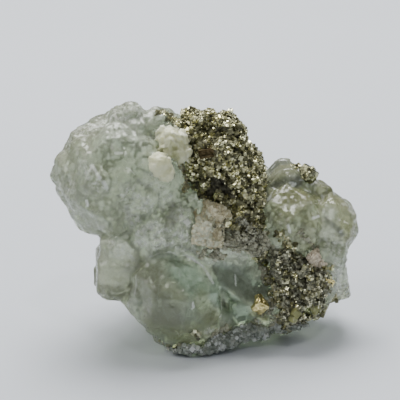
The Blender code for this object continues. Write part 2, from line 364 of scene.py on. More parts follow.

# %% [markdown]
# ## Where the fluorite is milky, green or warm, and where shade and highlights are painted
#
# The cluster isn't one colour: veils and healed cracks make some parts white, the lowest crystals
# are a deeper green, the right edge is a warmer yellow green, and some places are smoky. Strokes
# hold how dense the veils are and how deep each tint is. The smoky strokes also hold painted shade:
# thin dark bands along creases, and faces turned from the light. Lines are painted highlights,
# single bright glints.

# %% Zones of colour
MILKY_STROKES = (
    (84, 168, 94, 182, 1.7, 1.0),
    (94, 182, 103, 190, 1.5, 1.0),
    (70, 185, 78, 212, 2.6, 0.6),
    (59, 185, 64, 205, 1.5, 0.7),
    (66, 140, 120, 112, 3.0, 0.9),
    (120, 112, 150, 110, 2.4, 0.8),
    (130, 195, 140, 240, 3.0, 0.8),
    (142, 205, 158, 242, 3.2, 1.0),
    (150, 180, 165, 205, 2.4, 0.6),
    (170, 200, 190, 215, 2.2, 0.7),
    (170, 236, 188, 246, 3.0, 1.0),
    (180, 215, 195, 240, 2.8, 1.0),
    (112, 240, 130, 262, 2.0, 0.6),
    (100, 250, 110, 290, 3.0, 0.1),
    (162, 112, 176, 122, 2.0, 0.4),
    (212, 262, 262, 262, 1.2, 0.8),
    (230, 250, 290, 254, 2.8, 0.5),
    (276, 172, 298, 180, 2.0, 0.5),
    (318, 236, 350, 262, 3.2, 0.7),
    (286, 226, 310, 238, 2.6, 0.6),
    (338, 270, 344, 292, 3.2, 1.0),
    (350, 212, 356, 232, 1.6, 0.7),
    (205, 335, 262, 322, 1.6, 0.8),
    (186, 275, 196, 300, 1.8, 0.35),
    (214, 290, 240, 322, 2.6, 0.25),
)
# Painted highlights: thin bright lines along edges and single glints, painted into the colour.
GLINT_STROKES = (
    (150, 257, 160, 254, 0.5, 0.5),
    (136, 275, 135, 296, 0.5, 0.4),
    (166, 252, 186, 255, 0.5, 0.6),
    (186, 255, 203, 266, 0.5, 0.9),
    (203, 266, 213, 283, 0.5, 0.7),
    (213, 283, 221, 306, 0.5, 0.3),
    (221, 302, 220, 317, 0.42, 0.9),
    (235, 275, 236, 286, 0.32, 0.6),
    (192, 302, 193, 309, 0.42, 0.8),
    (86, 201, 87, 206, 0.45, 0.9),
    (104, 182, 107, 189, 0.5, 0.7),
    (127, 168, 135, 174, 0.38, 0.6),
    (115, 153, 122, 153, 0.45, 0.6),
    (92, 166, 100, 178, 0.5, 0.8),
    (122, 244, 133, 258, 0.55, 0.6),
    (288, 225, 290, 233, 0.4, 0.8),
    (313, 218, 319, 216, 0.5, 0.8),
    (292, 186, 295, 184, 0.45, 0.8),
    (272, 168, 284, 160, 0.5, 0.5),
    (322, 195, 324, 212, 0.5, 0.5),
    (268, 200, 274, 190, 0.5, 0.5),
    (290, 183, 305, 179, 0.5, 0.6),
    (340, 232, 356, 220, 0.5, 0.5),
    (334, 268, 346, 266, 0.5, 0.6),
)
GREEN_STROKES = (
    (178, 268, 205, 300, 4.5, 0.75),
    (150, 285, 175, 325, 8.0, 0.35),
    (216, 292, 242, 316, 3.6, 0.75),
    (228, 276, 262, 292, 4.0, 0.8),
    (112, 150, 125, 165, 5.0, 0.2),
)
WARM_STROKES = (
    (325, 196, 352, 230, 4.6, 1.0),
    (284, 194, 318, 200, 4.0, 1.0),
    (272, 192, 308, 232, 7.0, 0.8),
    (300, 310, 325, 312, 3.4, 1.0),
    (256, 312, 264, 318, 1.6, 1.0),
    (318, 180, 324, 186, 2.4, 0.8),
    (276, 176, 300, 168, 4.0, 0.9),
    (138, 265, 165, 300, 5.0, 0.5),
    (98, 250, 116, 290, 6.0, 0.4),
    (150, 318, 195, 338, 4.0, 0.6),
    (200, 300, 212, 318, 2.6, 0.6),
    (70, 150, 130, 200, 9.0, 0.3),
    (158, 148, 168, 152, 1.4, 0.7),
)
# Smoky fluorite mixed with painted shade: the thin bands along creases, the darker left half of the
# round crystal and the dark facet beside it are painted shade.
SMOKY_AND_SHADE_STROKES = (
    (274, 186, 298, 181, 1.8, 1.0),
    (272, 168, 284, 162, 2.0, 1.0),
    (272, 178, 278, 182, 1.5, 0.7),
    (277, 174, 300, 172, 3.0, 0.5),
    (298, 168, 312, 180, 2.4, 0.9),
    (298, 164, 312, 170, 1.4, 0.8),
    (264, 172, 266, 200, 1.8, 0.9),
    (284, 160, 300, 166, 1.2, 0.8),
    (284, 196, 306, 200, 3.0, 0.3),
    (352, 200, 357, 215, 1.0, 0.5),
    (333, 196, 345, 204, 1.2, 0.4),
    (322, 196, 326, 226, 0.5, 0.5),
    (262, 226, 290, 244, 1.2, 0.4),
    (220, 268, 265, 270, 1.2, 0.5),
    (214, 270, 240, 294, 1.4, 0.8),
    (232, 276, 264, 296, 3.8, 0.8),
    (136, 264, 172, 262, 3.0, 0.5),
    (146, 276, 162, 312, 6.4, 0.75),
    (100, 255, 118, 290, 4.0, 0.15),
    (335, 196, 353, 216, 2.0, 0.35),
    (130, 302, 132, 280, 0.8, 0.8),
    (132, 280, 138, 266, 0.8, 0.8),
    (138, 266, 149, 256, 0.8, 0.8),
    (149, 254, 166, 250, 0.7, 0.7),
    (214, 262, 226, 290, 1.0, 0.6),
    (255, 270, 268, 296, 2.0, 0.5),
    (82, 187, 92, 192, 0.9, 0.5),
    (138, 180, 150, 190, 0.5, 0.7),
    (127, 205, 130, 214, 0.5, 0.6),
    (148, 186, 160, 196, 0.5, 0.6),
    (174, 205, 172, 222, 1.2, 0.7),
    (166, 226, 172, 248, 0.6, 0.7),
    (192, 228, 198, 248, 1.2, 0.6),
    (180, 246, 198, 254, 0.9, 0.7),
    (126, 240, 134, 246, 0.6, 0.7),
    (93, 238, 124, 238, 0.5, 0.4),
    (130, 262, 132, 300, 0.7, 0.5),
    (176, 254, 177, 272, 0.4, 0.5),
    (158, 344, 175, 349, 1.0, 0.6),
    (196, 336, 212, 340, 1.0, 0.6),
    (326, 218, 342, 234, 0.8, 0.9),
    (312, 177, 316, 182, 0.7, 0.9),
    (264, 205, 272, 222, 0.8, 0.6),
    (344, 250, 345, 262, 0.5, 0.6),
    (318, 240, 330, 262, 0.6, 0.4),
)
for name, strokes, raggedness in (
    ("milky", MILKY_STROKES, 0.5),
    ("line", GLINT_STROKES, 0.4),
    ("green", GREEN_STROKES, 0.35),
    ("warm", WARM_STROKES, 0.35),
    ("smoky", SMOKY_AND_SHADE_STROKES, 0.5),
):
    values = painted(points, tree, strokes, raggedness)
    save_attribute(fluorite.data, name, values)
    print(name, "covers", round(float((values > 0.3).mean()), 3), "of the skin")

# %% [markdown]
# ## The fluorite's material
#
# Fluorite bends light less than glass: its index is 1.434. This one is cloudy, so only part of the
# light goes straight through and the rest is scattered by veils. The shader mixes the two through
# the transmission weight, which falls wherever the fluorite is white or dark. A plain absorption
# volume gives depth its green.

# %% Material helpers
def new_material(name):
    made = bpy.data.materials.new(name)
    made.use_nodes = True
    tree = made.node_tree
    return made, tree, tree.nodes["Principled BSDF"]


def feed(socket, value):
    """Links a socket to another one, or sets it to a number, a colour or a thing."""
    if isinstance(value, bpy.types.NodeSocket):
        socket.id_data.links.new(value, socket)
    elif socket.type == "RGBA":
        socket.default_value = (*value, 1.0)
    else:
        socket.default_value = value


def set_up(node, **values):
    """Feeds a node's inputs or sets its options; an input's name is written with _ for a space."""
    for key, value in values.items():
        name = key.replace("_", " ")
        if name in node.inputs:
            feed(node.inputs[name], value)
        else:
            setattr(node, key, value)


def add_node(tree, kind, **values):
    node = tree.nodes.new(kind)
    set_up(node, **values)
    return node


def object_place(tree):
    return tree.nodes.new("ShaderNodeTexCoord").outputs["Object"]


def noise_field(tree, size_mm, detail=4.0, roughness=0.6, distortion=0.0, stretch=(1, 1, 1)):
    """Noise with features of the given size, optionally stretched along an axis."""
    place = add_node(tree, "ShaderNodeMapping", Vector=object_place(tree), Scale=stretch)
    field = add_node(tree, "ShaderNodeTexNoise", Vector=place.outputs["Vector"], Detail=detail)
    set_up(field, Scale=1 / (size_mm * MM), Roughness=roughness, Distortion=distortion)
    return field.outputs["Fac"]


def levels(tree, value, low, high, to_low=0.0, to_high=1.0):
    """Stretches a value from one range to another, clamped."""
    node = add_node(tree, "ShaderNodeMapRange", Value=value, From_Min=low, From_Max=high)
    set_up(node, To_Min=to_low, To_Max=to_high)
    return node.outputs["Result"]


def calculate(tree, operation, first, second):
    node = add_node(tree, "ShaderNodeMath", operation=operation)
    feed(node.inputs[0], first)
    feed(node.inputs[1], second)
    return node.outputs["Value"]


def product(tree, first, second):
    return calculate(tree, "MULTIPLY", first, second)


def maximum(tree, first, *others):
    for other in others:
        first = calculate(tree, "MAXIMUM", first, other)
    return first


def mixed(tree, share, first, second):
    """A colour mixed from two, each given as a colour or a socket."""
    node = add_node(tree, "ShaderNodeMix", data_type="RGBA")
    feed(node.inputs["Factor"], share)
    sockets = [socket for socket in node.inputs if socket.type == "RGBA"]
    for socket, value in zip(sockets, (first, second)):
        feed(socket, value)
    return [socket for socket in node.outputs if socket.type == "RGBA"][0]


def blotches(tree, size_mm, dark, light, spread=0.15):
    """Two colours in soft blotches of the given size."""
    share = levels(tree, noise_field(tree, size_mm), 0.5 - spread, 0.5 + spread)
    return mixed(tree, share, dark, light)


def stored(tree, name):
    return add_node(tree, "ShaderNodeAttribute", attribute_name=name).outputs["Fac"]


def add_bump(tree, shader, height, depth, strength=1.0):
    bump = add_node(tree, "ShaderNodeBump", Height=height, Distance=depth, Strength=strength)
    feed(shader.inputs["Normal"], bump.outputs["Normal"])


def absorb(tree, colour, density):
    """Plain absorption inside a clear solid."""
    volume = add_node(tree, "ShaderNodeVolumeAbsorption", Color=colour, Density=density)
    output = [node for node in tree.nodes if node.type == "OUTPUT_MATERIAL"][0]
    feed(output.inputs["Volume"], volume.outputs["Volume"])


# %% [markdown]
# ## A mosaic too fine for the mesh
#
# The growth facets go on below the size that the mesh can hold. The same idea, cells that each
# lean their own way, is repeated here as a bump. The cells are bent by noise first, because
# straight walls between them would look like cut glass.

# %% Facets and cracks as textures
BEND_SCALE = 350.0  # per metre


def vector_math(tree, operation, *values):
    node = add_node(tree, "ShaderNodeVectorMath", operation=operation)
    for socket, value in zip(node.inputs, values):
        feed(socket, value)
    return node.outputs["Value" if operation == "DOT_PRODUCT" else "Vector"]


def bent_place(tree, bend_mm=1.0):
    """Object coordinates bent by noise, so that cells have curved and uneven walls."""
    place = object_place(tree)
    bend = add_node(tree, "ShaderNodeTexNoise", Vector=place, Scale=BEND_SCALE, Detail=2.0)
    return vector_math(tree, "MULTIPLY_ADD", bend.outputs["Color"], (bend_mm * MM,) * 3, place)


def cells_of(tree, place, size_mm, feature="F1"):
    cells = add_node(tree, "ShaderNodeTexVoronoi", feature=feature, Vector=place)
    set_up(cells, Scale=1 / (size_mm * MM))
    return cells


def cell_walls(tree, size_mm, thickness):
    """1 on the thin walls between cells, 0 inside them."""
    walls = cells_of(tree, bent_place(tree), size_mm, "DISTANCE_TO_EDGE").outputs["Distance"]
    return levels(tree, walls, 0.0, thickness, 1.0, 0.0)


def facet_height(tree, size_mm, slope):
    """The height in metres of a mosaic of tiny facets, each leaning in its own direction."""
    place = bent_place(tree, size_mm * 0.4)
    cells = cells_of(tree, place, size_mm)
    outward = vector_math(tree, "SUBTRACT", place, cells.outputs["Position"])
    lean = vector_math(tree, "SUBTRACT", cells.outputs["Color"], (0.5, 0.5, 0.5))
    return product(tree, vector_math(tree, "DOT_PRODUCT", outward, lean), slope * 2)


def facet_bump(tree, shader, size_mm, slope, grain_mm, grain_depth_mm):
    """Tiny leaning facets with a fine grain on them, as a bump."""
    grain = product(tree, noise_field(tree, grain_mm, 3.0), grain_depth_mm * MM)
    height = calculate(tree, "ADD", facet_height(tree, size_mm, slope), grain)
    add_bump(tree, shader, height, 1.0)


# %% [markdown]
# ## Layers of colour in the fluorite
#
# The colour is built up in layers: two pale greens, then dust, the deeper tints, smoky places and
# painted shade in creases, and last the white veils with painted highlights on edges, and single
# painted glints. White and dark places are also less clear, so the same layers drive how much
# light goes through.

# %% Pale green fluorite
FLUORITE_INDEX = 1.434
YELLOW_GREEN, PALE_GREEN = (0.60, 0.62, 0.46), (0.70, 0.74, 0.60)
DUSTY, DEEP_GREEN, WARM_OLIVE = (0.36, 0.39, 0.32), (0.25, 0.36, 0.28), (0.36, 0.36, 0.18)
# The smoky colour also paints shade, the veil white also paints edge highlights, and the glint
# white paints glints.
SMOKY_AND_SHADE, VEIL_AND_HIGHLIGHT, GLINT = (0.14, 0.15, 0.11), (0.78, 0.79, 0.75), (0.92, 0.94, 0.90)
GREEN_INSIDE = (0.66, 0.78, 0.62)
ABSORPTION = 30.0  # per metre


def veils_and_edge_highlights(tree):
    """Wisps and chalk in the milky zones, healed cracks, and pale edges that are painted
    highlights.
    """
    milky = stored(tree, "milky")
    wisps = levels(tree, noise_field(tree, 2.4, 4.0, 0.55, 0.5, (1, 1, 0.4)), 0.50, 0.72)
    wisps = product(tree, wisps, levels(tree, milky, 0.0, 1.0, 0.10, 0.8))
    chalk = levels(tree, noise_field(tree, 0.9), 0.42, 0.62)
    chalk = product(tree, chalk, product(tree, milky, 0.95))
    cracks = maximum(tree, cell_walls(tree, 3.2, 0.03), cell_walls(tree, 1.3, 0.05))
    healed = product(tree, cracks, levels(tree, noise_field(tree, 3.0), 0.46, 0.58, 0.0, 0.28))
    # Painted highlight: convex edges turn paler.
    rim = product(tree, stored(tree, "edge"), 0.28)
    white = maximum(tree, wisps, chalk, healed, rim)
    tinted = maximum(tree, stored(tree, "warm"), stored(tree, "green"), stored(tree, "smoky"))
    return product(tree, white, levels(tree, tinted, 0.0, 1.0, 1.0, 0.15))


def dark_places(tree):
    """Smoky zones with painted shade, specks in patches, and painted shade in creases."""
    specks = levels(tree, noise_field(tree, 0.6, 2.0), 0.67, 0.71)
    patches = levels(tree, noise_field(tree, 5.0), 0.42, 0.55, 0.0, 0.8)
    # Painted shade: creases turn darker.
    crease_shade = product(tree, stored(tree, "crease"), 0.65)
    return maximum(tree, stored(tree, "smoky"), product(tree, specks, patches), crease_shade)


def two_greens(tree):
    """A mosaic of two pale greens under soft clouds."""
    tint = tree.nodes.new("ShaderNodeSeparateColor")
    cells = cells_of(tree, bent_place(tree, 1.6), 3.6)
    feed(tint.inputs["Color"], cells.outputs["Color"])
    cloud = levels(tree, noise_field(tree, 8.0, 3.0), 0.35, 0.65, 0.0, 0.6)
    share = calculate(tree, "ADD", product(tree, tint.outputs["Red"], 0.4), cloud)
    return mixed(tree, share, YELLOW_GREEN, PALE_GREEN)


def green_fluorite():
    material, tree, shader = new_material("pale green fluorite")
    white, dark = veils_and_edge_highlights(tree), dark_places(tree)
    # Painted glints, from the glint strokes.
    glint = levels(tree, stored(tree, "line"), 0.25, 0.9)
    base = two_greens(tree)
    # The dark layer holds painted shade, the white layer painted edge highlights, and the glint
    # layer painted glints.
    for share, colour in (
        (levels(tree, noise_field(tree, 0.55, 3.0), 0.46, 0.66, 0.0, 0.45), DUSTY),
        (stored(tree, "green"), DEEP_GREEN),
        (stored(tree, "warm"), WARM_OLIVE),
        (dark, SMOKY_AND_SHADE),
        (white, VEIL_AND_HIGHLIGHT),
        (glint, GLINT),
    ):
        base = mixed(tree, share, base, colour)
    cloudy = maximum(tree, white, glint, dark)
    rough = levels(tree, noise_field(tree, 1.4), 0.3, 0.7, 0.06, 0.24)
    rough = calculate(tree, "ADD", rough, product(tree, white, 0.2))
    clear = levels(tree, cloudy, 0.0, 1.0, 0.70, 0.10)
    set_up(shader, Base_Color=base, Roughness=rough, Transmission_Weight=clear)
    set_up(shader, IOR=FLUORITE_INDEX, Subsurface_Weight=0.25)
    set_up(shader, Subsurface_Radius=(1.0, 1.1, 0.95), Subsurface_Scale=1.5 * MM)
    facet_bump(tree, shader, 0.8, 0.15, 0.3, 0.018)
    absorb(tree, GREEN_INSIDE, ABSORPTION)
    return material


def dress(piece, material, slot, *nodes):
    """Gives a finished piece its material and its body, and hides the solids it stands for. The
    slot is not used.
    """
    piece.data.materials.clear()
    piece.data.materials.append(material)
    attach(piece, "root")
    if nodes:
        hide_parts(*nodes)
    print(piece.name, len(piece.data.polygons), "faces")


dress(fluorite, green_fluorite(), "green_fluorite", "fluorite_cluster")

# %% [markdown]
# ## Crusts of grains
#
# Granular pyrite, calcite and quartz are crusts of small crystals side by side. Geometry Nodes
# suit this: points spread over a skin at a least distance, and a small crystal on each, turned
# and scaled at random. One function makes the tree for metal grains and the one for sugary
# grains, and the grains' spacing and sizes are its inputs. A random tone on each grain lets the
# material vary from one to the next.

# %% The tree that grows a crust
DENSEST = 9e6  # grains per square metre, before their spacing is kept
CRUST_LIMIT = 0.4  # a crust grows where its value is above this


def grain_shape(kind):
    """A grain about one unit across, with few faces: a cube, a bar, a ball or a rounded lump."""
    bm = bmesh.new()
    if kind == "ball":
        bmesh.ops.create_icosphere(bm, subdivisions=1, radius=0.5)
        bmesh.ops.scale(bm, vec=(1.0, 0.85, 1.1), verts=bm.verts)
    elif kind == "lump":
        bmesh.ops.create_cube(bm, size=0.85)
        bmesh.ops.bevel(bm, geom=bm.edges[:], offset=0.14, segments=1, affect="EDGES")
    else:
        bmesh.ops.create_cube(bm, size=0.8)
    if kind == "bar":
        bmesh.ops.scale(bm, vec=(0.6, 0.8, 1.6), verts=bm.verts)
    return bpy.data.objects.new(kind + " grain", mesh_from(bm, kind + " grain"))


def live_socket(sockets, name):
    """The one of the sockets with this name that is switched on."""
    return [socket for socket in sockets if socket.name == name and socket.enabled][0]


def crust_tree(name, shapes):
    """Grows grains on the faces of a skin where its "crust" attribute is above the limit."""
    tree = bpy.data.node_groups.new(name, "GeometryNodeTree")
    kinds = dict(Geometry="Geometry", Spacing="Float", Smallest="Float", Largest="Float")
    kinds.update(Seed="Int", Material="Material")
    for label, kind in kinds.items():
        tree.interface.new_socket(label, in_out="INPUT", socket_type="NodeSocket" + kind)
    tree.interface.new_socket("Geometry", in_out="OUTPUT", socket_type="NodeSocketGeometry")
    given = tree.nodes.new("NodeGroupInput").outputs
    result = tree.nodes.new("NodeGroupOutput")

    crust = add_node(tree, "GeometryNodeInputNamedAttribute", Name="crust").outputs["Attribute"]
    above = add_node(tree, "FunctionNodeCompare", data_type="FLOAT", operation="GREATER_THAN")
    set_up(above, A=crust, B=CRUST_LIMIT)
    spread = tree.nodes.new("GeometryNodeDistributePointsOnFaces")
    set_up(spread, distribute_method="POISSON", Density_Max=DENSEST, Seed=given["Seed"])
    set_up(spread, Mesh=given["Geometry"], Distance_Min=given["Spacing"])
    set_up(spread, Density_Factor=above.outputs["Result"])

    gathered = tree.nodes.new("GeometryNodeJoinGeometry")
    for shape in shapes:
        info = add_node(tree, "GeometryNodeObjectInfo", Object=shape, As_Instance=True)
        set_up(gathered, Geometry=info.outputs["Geometry"])

    def random_value(kind, low, high, shift):
        """A random value for each grain. The shift keeps it apart from the other values."""
        seed = calculate(tree, "ADD", given["Seed"], shift)
        node = add_node(tree, "FunctionNodeRandomValue", data_type=kind, Seed=seed)
        feed(live_socket(node.inputs, "Min"), low)
        feed(live_socket(node.inputs, "Max"), high)
        return live_socket(node.outputs, "Value")

    place = tree.nodes.new("GeometryNodeInstanceOnPoints")
    set_up(place, Points=spread.outputs["Points"], Pick_Instance=True)
    set_up(place, Instance=gathered.outputs["Geometry"])
    set_up(place, Instance_Index=random_value("INT", 0, len(shapes) - 1, 3))
    set_up(place, Rotation=random_value("FLOAT_VECTOR", (0, 0, 0), (math.tau,) * 3, 5))
    set_up(place, Scale=random_value("FLOAT", given["Smallest"], given["Largest"], 7))

    tone = add_node(tree, "GeometryNodeStoreNamedAttribute", domain="INSTANCE", Name="tone")
    set_up(tone, Geometry=place.outputs["Instances"])
    feed(live_socket(tone.inputs, "Value"), random_value("FLOAT", 0.0, 1.0, 11))
    realize = add_node(tree, "GeometryNodeRealizeInstances", Geometry=tone.outputs["Geometry"])
    finish = add_node(tree, "GeometryNodeSetMaterial", Material=given["Material"])
    set_up(finish, Geometry=realize.outputs["Geometry"])
    set_up(result, Geometry=finish.outputs["Geometry"])
    return tree


def grow_crust(name, skin, where, mineral, grain, seed):
    """A piece made of grains on a skin, where a value given for the skin's points is high.

    A mineral is a material, a tree and a slot. A grain is its spacing, its smallest and its
    largest size, in mm.
    """
    material, tree, slot = mineral
    piece = add_piece(name, skin.data.copy())
    save_attribute(piece.data, "crust", where)
    crust = piece.modifiers.new("crust", "NODES")
    crust.node_group = tree
    values = {"Seed": seed, "Material": material}
    for label, size in zip(("Spacing", "Smallest", "Largest"), grain):
        values[label] = size * MM
    for socket in tree.interface.items_tree:
        if socket.name in values:
            crust[socket.identifier] = values[socket.name]
    apply_modifiers(piece)
    dress(piece, material, slot)


CUBE_GRAIN = grain_shape("cube")
METAL_CRUST = crust_tree("metal crust", (CUBE_GRAIN, CUBE_GRAIN.copy(), grain_shape("bar")))
SUGAR_CRUST = crust_tree("sugar crust", (grain_shape("ball"), CUBE_GRAIN, grain_shape("lump")))
print("trees:", METAL_CRUST.name, "and", SUGAR_CRUST.name)

# %% [markdown]
# ## Sugary grains
#
# Fine quartz and calcite look like sugar: each grain is a little clear, and light also scatters
# inside it. One material with two colours does for all of them. The grain's own tone and soft
# patches say where it lies between the dark and the light one.

# %% A material for sugary grains
SUGAR_INDEX = 1.5


def sugary(name, slot, dark, light, clear=0.15, roughness=0.4):
    material, tree, shader = new_material(name)
    patches = levels(tree, noise_field(tree, 2.0), 0.35, 0.65, 0.0, 0.5)
    tone = calculate(tree, "ADD", product(tree, stored(tree, "tone"), 0.5), patches)
    set_up(shader, Base_Color=mixed(tree, tone, dark, light), Roughness=roughness)
    set_up(shader, Transmission_Weight=clear, IOR=SUGAR_INDEX, Subsurface_Weight=0.2)
    set_up(shader, Subsurface_Radius=(1.0, 0.9, 0.8), Subsurface_Scale=0.8 * MM)
    add_bump(tree, shader, noise_field(tree, 0.2, 3.0), 0.03 * MM, 0.6)
    print(name)
    return material, SUGAR_CRUST, slot


GREY = sugary("grey quartz", "white_quartz", (0.15, 0.15, 0.09), (0.66, 0.65, 0.49), 0.2, 0.25)
OLIVE = sugary("olive fluorite", "green_fluorite", (0.26, 0.27, 0.10), (0.52, 0.52, 0.24), 0.3, 0.2)
TAN = sugary("tan calcite", "tan_calcite", (0.42, 0.34, 0.18), (1.0, 0.95, 0.68))
PALE_TAN = sugary("pale yellowish calcite", "tan_calcite", (0.40, 0.40, 0.26), (0.96, 0.97, 0.76))
PINK_TAN = sugary("pinkish tan calcite", "tan_calcite", (0.44, 0.36, 0.25), (0.84, 0.74, 0.58))
WHITE = sugary("white quartz", "white_quartz", (0.20, 0.23, 0.18), (0.66, 0.69, 0.62), 0.35, 0.25)
SNOW = sugary("snow white quartz", "white_quartz", (0.55, 0.57, 0.54), (0.90, 0.91, 0.89), 0.2, 0.3)

# %% [markdown]
# ## Pyrite
#
# The pyrite is a mass of cubes, most of them half a millimetre wide and a few twice that. Many are
# dull and dark, and the faces that meet the light flash a pale, slightly green brass. A dark skin
# shows between the grains: its colour is dark tarnish and painted shade in the gaps. In a few
# hollows no grains grow at all. The tone on each grain sets how bright and how rough its metal is.

# %% Pyrite materials
def pyrite_grains(name, dark, bright, lowest=0.15, highest=0.65):
    material, tree, shader = new_material(name)
    tone = levels(tree, stored(tree, "tone"), lowest, highest)
    tarnish = levels(tree, noise_field(tree, 2.2), 0.40, 0.60, 0.3, 1.0)
    base = mixed(tree, product(tree, tone, tarnish), dark, bright)
    rough = levels(tree, tone, 0.0, 1.0, 0.5, 0.22)
    set_up(shader, Base_Color=base, Metallic=1.0, Roughness=rough)
    facet_bump(tree, shader, 0.35, 0.25, 0.12, 0.006)
    print(name)
    return material, METAL_CRUST, "pyrite"


def tarnish_and_shade_skin():
    material, tree, shader = new_material("dark pyrite between the grains")
    # Dark tarnish and painted shade: the skin is darkened to stand for the gaps between the grains.
    base = blotches(tree, 1.2, (0.05, 0.048, 0.033), (0.20, 0.19, 0.13))
    set_up(shader, Base_Color=base, Metallic=0.7, Roughness=0.42)
    facet_bump(tree, shader, 0.45, 0.45, 0.2, 0.04)
    return material


BRASS = pyrite_grains("pyrite grains", (0.18, 0.175, 0.10), (1.0, 0.97, 0.62))
DULL = pyrite_grains("dark sulphide grains", (0.15, 0.15, 0.11), (0.98, 0.95, 0.66), 0.20, 0.8)
PYRITE_TARNISH_AND_SHADE = tarnish_and_shade_skin()

# %% [markdown]
# ## Crusts on the pyrite
#
# Both pyrite solids swell and sink before anything grows on them, so that their outline is uneven.
# Strokes mark the hollows, which stay bare, the places where grey quartz covers the metal, and a
# spot of olive crystals on the patch.

# %% Grains on the pyrite
PYRITE_VOXEL = 0.3
HOLLOW_DEPTH = 1.8  # mm
CREVICE_DEPTH = 0.5  # mm
CREVICE_GAIN, CREVICE_START = 2.6, 0.35
HOLLOW_STROKES = (
    (207, 180, 213, 190, 1.6, 1.0),
    (218, 184, 226, 196, 1.8, 1.0),
    (222, 172, 229, 177, 1.0, 0.9),
    (205, 194, 215, 202, 1.1, 0.9),
    (236, 190, 240, 196, 0.8, 0.8),
    (233, 148, 237, 152, 0.7, 0.8),
    (203, 127, 209, 131, 0.8, 0.8),
    (291, 314, 302, 319, 1.3, 1.0),
    (300, 276, 306, 286, 1.2, 0.8),
    (283, 292, 290, 302, 1.2, 0.8),
    (337, 268, 338, 296, 1.6, 1.0),
)
GREY_ON_PYRITE_STROKES = (
    (226, 238, 262, 246, 3.6, 1.0),
    (240, 222, 252, 228, 1.6, 0.8),
    (268, 262, 284, 300, 2.4, 1.0),
    (284, 300, 290, 326, 1.6, 0.9),
    (280, 256, 300, 264, 1.4, 0.8),
    (290, 270, 312, 272, 1.0, 0.8),
    (300, 286, 320, 286, 0.8, 0.7),
    (326, 290, 332, 300, 1.0, 0.7),
)
OLIVE_STROKES = ((305, 312, 317, 310, 1.4, 1.0),)


def swelling(points, amount, seed):
    """How far a crust swells out in mm, and the crevices between the swellings, from 0 to 1."""
    swell = soft_noise(points, 3.2, seed) * 0.45 + soft_noise(points, 1.5, seed + 2) * 0.35
    return swell * amount, np.clip(-swell * CREVICE_GAIN - CREVICE_START, 0, 1)


for node, metal, lift, seed in (("pyrite_mass", BRASS, -0.15, 3), ("pyrite_patch", DULL, -0.5, 8)):
    skin = even_skin(node, node + "_skin", PYRITE_VOXEL, rounding=1)
    places = points_of(skin.data)
    hollows = painted(places, SEEN, HOLLOW_STROKES, 0.3)
    quartz = painted(places, SEEN, GREY_ON_PYRITE_STROKES, 0.5)
    quartz *= np.clip(1.15 + 0.6 * soft_noise(places, 1.3, 43), 0, 1)
    olive = painted(places, SEEN, OLIVE_STROKES, 0.2)
    swell, crevices = swelling(places, 1.0, 11)
    relief = swell + leaning_facets(places, 1.6, 0.5) + lift
    push(skin.data, relief - hollows * HOLLOW_DEPTH - crevices * CREVICE_DEPTH)
    dress(skin, PYRITE_TARNISH_AND_SHADE, "pyrite", node)
    bare = 1 - np.max((hollows, crevices, quartz, olive), axis=0)
    grow_crust(node + "_grains", skin, bare, metal, (0.44, 0.38, 0.92), seed)
    grow_crust(node + "_large_grains", skin, bare, BRASS, (1.5, 0.8, 1.3), seed + 1)
    grow_crust(node + "_quartz", skin, quartz, GREY, (0.32, 0.30, 0.80), seed + 2)

grow_crust("olive_crystals", skin, olive, OLIVE, (0.9, 1.4, 2.2), 11)

# %% [markdown]
# ## Single pyrite crystals
#
# Three larger crystals stand alone. Their edges are chipped and their faces aren't quite flat, so
# each gets a fine skin that is hardly rounded, and a polished brass with the fine lines that
# pyrite faces carry. The one at the top is tarnished to a dark olive.

# %% Single pyrite crystals
def pyrite_crystal(name, dark, bright, roughness=0.24):
    material, tree, shader = new_material(name)
    base = blotches(tree, 1.0, dark, bright, spread=0.10)
    set_up(shader, Base_Color=base, Metallic=1.0, Roughness=roughness)
    lines = noise_field(tree, 0.3, 2.0, 0.5, 0.0, (1, 6, 1))
    add_bump(tree, shader, lines, 0.03 * MM, 0.5)
    return material


CRYSTAL_VOXEL = 0.16
GOLD = pyrite_crystal("pale gold pyrite", (0.50, 0.42, 0.16), (1.0, 0.87, 0.42))
DARK_OLIVE = pyrite_crystal("olive pyrite", (0.10, 0.10, 0.06), (0.40, 0.40, 0.25))
# Each crystal: solid, material, its size as a share of the solid's, and its shift in mm
for node, metal, share, shift in (
    ("pyrite_crystal_front", GOLD, 0.9, (0.2, 0.1, 0.1)),
    ("pyrite_crystal_top_right", DARK_OLIVE, 0.85, (0.1, 0.1, -0.2)),
    ("pyrite_crystal_corner", GOLD, 0.95, (0.0, 0.0, 0.3)),
):
    single = even_skin(node, node + "_worn", CRYSTAL_VOXEL, rounding=1)
    places = points_of(single.data)
    middle = places.mean(axis=0)
    places = middle + (places - middle) * share + np.array(shift) * MM
    move_to(single.data, places)
    push(single.data, leaning_facets(places, 1.2, 0.20) + soft_noise(places, 0.7, 51) * 0.04)
    dress(single, metal, "pyrite", node)

# %% [markdown]
# ## A striated block
#
# Beside the dark hollow lies one long brown crystal. Its face is ribbed, as pyrite's faces are when
# two forms grew in turn. Thin slabs side by side, each a little higher or lower, make the ribs.

# %% Striated block
BLOCK_AT = (206, 152)
BLOCK_LENGTH = 2.9 * MM
BLOCK_DEPTH = 2.0 * MM
BLOCK_TURN = Euler((-0.2, math.radians(-8), 0.1))
BLOCK_STANDS_OUT = Vector((0, -0.4, 0)) * MM
RIB_HEIGHTS = (0.0, 0.15, -0.05, 0.20, 0.05, -0.10)  # how far each rib stands forward, in mm
RIB_WIDTH = 0.28 * MM
RIB_SHARE = 0.94  # the rest of the width is the groove beside the rib


